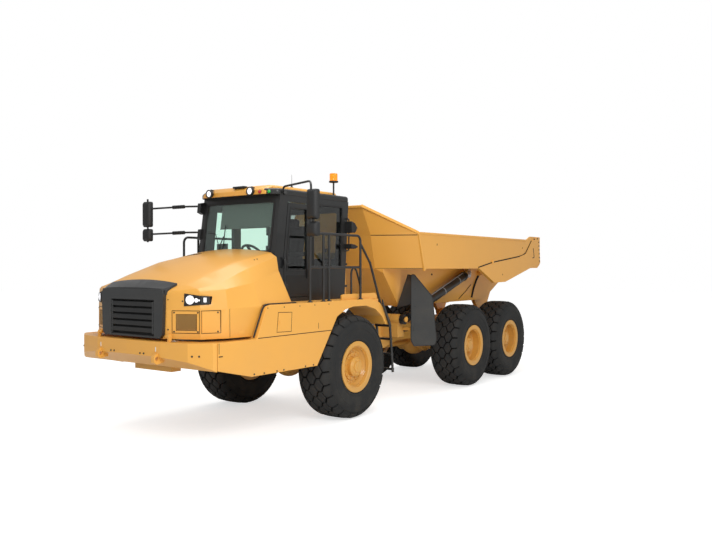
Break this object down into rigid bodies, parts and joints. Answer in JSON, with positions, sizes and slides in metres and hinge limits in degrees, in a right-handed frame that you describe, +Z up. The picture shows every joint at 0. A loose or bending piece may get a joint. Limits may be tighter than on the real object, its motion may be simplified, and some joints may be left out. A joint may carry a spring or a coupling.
{
  "type": "articulated dump truck",
  "caption": "Articulated dump truck with a tipping body, steering hitch, roll joint and hoist cylinders.",
  "frame": {"origin": "on the ground at the middle of the overall length and width", "axes": "+X forward to the nose, +Y to the left side, +Z up"},
  "size_m": [10.36, 3.63, 3.85],
  "materials": {
    "tyre": "moulded rubber",
    "rim_paint": "gloss paint",
    "yellow_paint": "gloss paint",
    "frame_paint": "satin paint",
    "engine_grey": "painted casting",
    "rod_steel": "ground and plated",
    "black_steel": "satin black paint",
    "cab_black": "satin dark grey paint",
    "window_glass": "tinted",
    "flap_rubber": "smooth sheet rubber",
    "lamp_glass": "clear lens",
    "beacon_amber": "clear amber",
    "tail_red": "ribbed lens",
    "seat_fabric": "woven",
    "cab_plastic": "moulded"
  },
  "bodies": {
    "front_frame": {"beacon": "beacon_amber", "bumper": "yellow_paint", "cab_glass": "window_glass", "cab_shell": "cab_black", "console": "cab_plastic", "deck": "yellow_paint", "engine": "engine_grey", "fenders": "yellow_paint", "front_axle": "frame_paint", "front_chassis": "frame_paint", "handrails": "black_steel", "ladder": "black_steel", "mirrors": "black_steel", "radiator": "engine_grey", "rear_tank": "yellow_paint", "roof": "cab_black", "roof_cap": "yellow_paint", "roof_lamps": "lamp_glass", "seat": "seat_fabric"},
    "hitch": {"hitch": "frame_paint"},
    "rear_frame": {"rear_chassis": "frame_paint", "roll_housing": "frame_paint", "hoist_feet": "frame_paint", "rear_axles": "frame_paint", "walking_beams": "frame_paint", "wheel_flaps": "flap_rubber", "tail_lamps": "tail_red"},
    "bed": {"bed": "yellow_paint"},
    "hood": {"hood": "yellow_paint", "grille": "cab_black", "headlamps": "lamp_glass"},
    "door": {"door": "cab_black", "door_glass": "window_glass"},
    "wheel_front_left": {"tyre_front_left": "tyre", "rim_front_left": "rim_paint"},
    "wheel_front_right": {"tyre_front_right": "tyre", "rim_front_right": "rim_paint"},
    "wheel_middle_left": {"tyre_middle_left": "tyre", "rim_middle_left": "rim_paint"},
    "wheel_middle_right": {"tyre_middle_right": "tyre", "rim_middle_right": "rim_paint"},
    "wheel_rear_left": {"tyre_rear_left": "tyre", "rim_rear_left": "rim_paint"},
    "wheel_rear_right": {"tyre_rear_right": "tyre", "rim_rear_right": "rim_paint"},
    "hoist_barrel_left": {"hoist_barrel_left": "black_steel"},
    "hoist_rod_left": {"hoist_rod_left": "rod_steel"},
    "steering_barrel_left": {"steering_barrel_left": "black_steel"},
    "steering_rod_left": {"steering_rod_left": "rod_steel"},
    "hoist_barrel_right": {"hoist_barrel_right": "black_steel"},
    "hoist_rod_right": {"hoist_rod_right": "rod_steel"},
    "steering_barrel_right": {"steering_barrel_right": "black_steel"},
    "steering_rod_right": {"steering_rod_right": "rod_steel"}
  },
  "joints": [
    {"name": "steering", "type": "hinge", "parent": "front_frame", "child": "hitch", "pos_m": [0.63, 0, 1.05], "axis": [0, 0, 1], "range_deg": [-45, 45]},
    {"name": "frame_roll", "type": "hinge", "parent": "hitch", "child": "rear_frame", "pos_m": [-0.07, 0, 1.05], "axis": [-1, 0, 0], "range_deg": [-20, 20]},
    {"name": "tip", "type": "hinge", "parent": "rear_frame", "child": "bed", "pos_m": [-4.02, 0, 1.3], "axis": [0, -1, 0], "range_deg": [0, 70]},
    {"name": "hood_tilt", "type": "hinge", "parent": "front_frame", "child": "hood", "pos_m": [5.03, 0, 1.46], "axis": [0, 1, 0], "range_deg": [0, 65]},
    {"name": "door_swing", "type": "hinge", "parent": "front_frame", "child": "door", "pos_m": [2.975, 0.83, 2.4], "axis": [0, 0, -1], "range_deg": [0, 50]},
    {"name": "wheel_front_left_spin", "type": "hinge", "parent": "front_frame", "child": "wheel_front_left", "pos_m": [1.93, 1.11, 0.8], "axis": [0, 1, 0], "continuous": true},
    {"name": "wheel_front_right_spin", "type": "hinge", "parent": "front_frame", "child": "wheel_front_right", "pos_m": [1.93, -1.11, 0.8], "axis": [0, 1, 0], "continuous": true},
    {"name": "wheel_middle_left_spin", "type": "hinge", "parent": "rear_frame", "child": "wheel_middle_left", "pos_m": [-1.99, 1.11, 0.8], "axis": [0, 1, 0], "continuous": true},
    {"name": "wheel_middle_right_spin", "type": "hinge", "parent": "rear_frame", "child": "wheel_middle_right", "pos_m": [-1.99, -1.11, 0.8], "axis": [0, 1, 0], "continuous": true},
    {"name": "wheel_rear_left_spin", "type": "hinge", "parent": "rear_frame", "child": "wheel_rear_left", "pos_m": [-3.69, 1.11, 0.8], "axis": [0, 1, 0], "continuous": true},
    {"name": "wheel_rear_right_spin", "type": "hinge", "parent": "rear_frame", "child": "wheel_rear_right", "pos_m": [-3.69, -1.11, 0.8], "axis": [0, 1, 0], "continuous": true},
    {"name": "hoist_pivot_left", "type": "hinge", "parent": "rear_frame", "child": "hoist_barrel_left", "pos_m": [-0.17, 0.9, 1.39], "axis": [0, 1, 0], "range_deg": [-0.05, 1.44]},
    {"name": "hoist_stroke_left", "type": "slide", "parent": "hoist_barrel_left", "child": "hoist_rod_left", "axis": [-0.9513, 0, 0.3082], "range_m": [0, 1.86038]},
    {"name": "steering_pivot_left", "type": "hinge", "parent": "front_frame", "child": "steering_barrel_left", "pos_m": [1.65, 0.52, 0.8], "axis": [0, 0, 1], "range_deg": [-8.5, 8.5]},
    {"name": "steering_stroke_left", "type": "slide", "parent": "steering_barrel_left", "child": "steering_rod_left", "axis": [-0.9927, -0.1203, 0], "range_m": [-0.3, 0.3]},
    {"name": "hoist_pivot_right", "type": "hinge", "parent": "rear_frame", "child": "hoist_barrel_right", "pos_m": [-0.17, -0.9, 1.39], "axis": [0, 1, 0], "range_deg": [-0.05, 1.44]},
    {"name": "hoist_stroke_right", "type": "slide", "parent": "hoist_barrel_right", "child": "hoist_rod_right", "axis": [-0.9513, 0, 0.3082], "range_m": [0, 1.86038]},
    {"name": "steering_pivot_right", "type": "hinge", "parent": "front_frame", "child": "steering_barrel_right", "pos_m": [1.65, -0.52, 0.8], "axis": [0, 0, 1], "range_deg": [-8.5, 8.5]},
    {"name": "steering_stroke_right", "type": "slide", "parent": "steering_barrel_right", "child": "steering_rod_right", "axis": [-0.9927, 0.1203, 0], "range_m": [-0.3, 0.3]}
  ],
  "couplings": [
    {"joint": "hoist_pivot_left", "follows": "tip", "ratio": 0.019886},
    {"joint": "hoist_stroke_left", "follows": "tip", "m_per_rad": 1.5219},
    {"joint": "steering_pivot_left", "follows": "steering", "ratio": 0.16319},
    {"joint": "steering_stroke_left", "follows": "steering", "m_per_rad": 0.37082},
    {"joint": "hoist_pivot_right", "follows": "tip", "ratio": 0.019886},
    {"joint": "hoist_stroke_right", "follows": "tip", "m_per_rad": 1.5219},
    {"joint": "steering_pivot_right", "follows": "steering", "ratio": 0.16319},
    {"joint": "steering_stroke_right", "follows": "steering", "m_per_rad": -0.37082}
  ]
}
